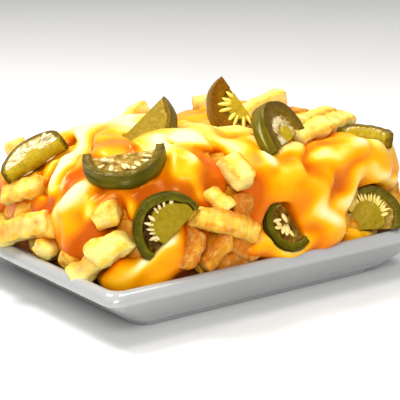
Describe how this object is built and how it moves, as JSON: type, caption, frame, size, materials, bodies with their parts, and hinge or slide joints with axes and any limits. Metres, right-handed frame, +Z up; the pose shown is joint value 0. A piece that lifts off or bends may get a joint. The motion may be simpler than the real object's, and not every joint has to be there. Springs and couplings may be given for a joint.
{
  "type": "plate of cheese fries",
  "caption": "Heap of french fries on a small rectangular porcelain plate, under thick cheese sauce and half slices of pickled jalapeno.",
  "frame": {"origin": "on the table, under the middle of the plate", "axes": "+X along the plate's long side, +Z up; the picture looks from the -X, -Y corner"},
  "size_m": [0.1779, 0.134, 0.0812],
  "materials": {
    "porcelain": "glossy white glaze",
    "fry": "dry golden fried potato",
    "cheese": "glossy orange cheese sauce",
    "jalapeno": "wet pickled green pepper"
  },
  "bodies": {
    "root": {"plate": "porcelain", "fries": "fry", "cheese_sauce": "cheese", "jalapeno_left_end": "jalapeno", "jalapeno_left_middle": "jalapeno", "jalapeno_front": "jalapeno", "jalapeno_standing": "jalapeno", "jalapeno_crown": "jalapeno", "jalapeno_high": "jalapeno", "jalapeno_right_flat": "jalapeno", "jalapeno_right_front": "jalapeno", "jalapeno_right_rim": "jalapeno", "jalapeno_back_high": "jalapeno", "jalapeno_back_low": "jalapeno", "jalapeno_side_back": "jalapeno"}
  },
  "joints": []
}
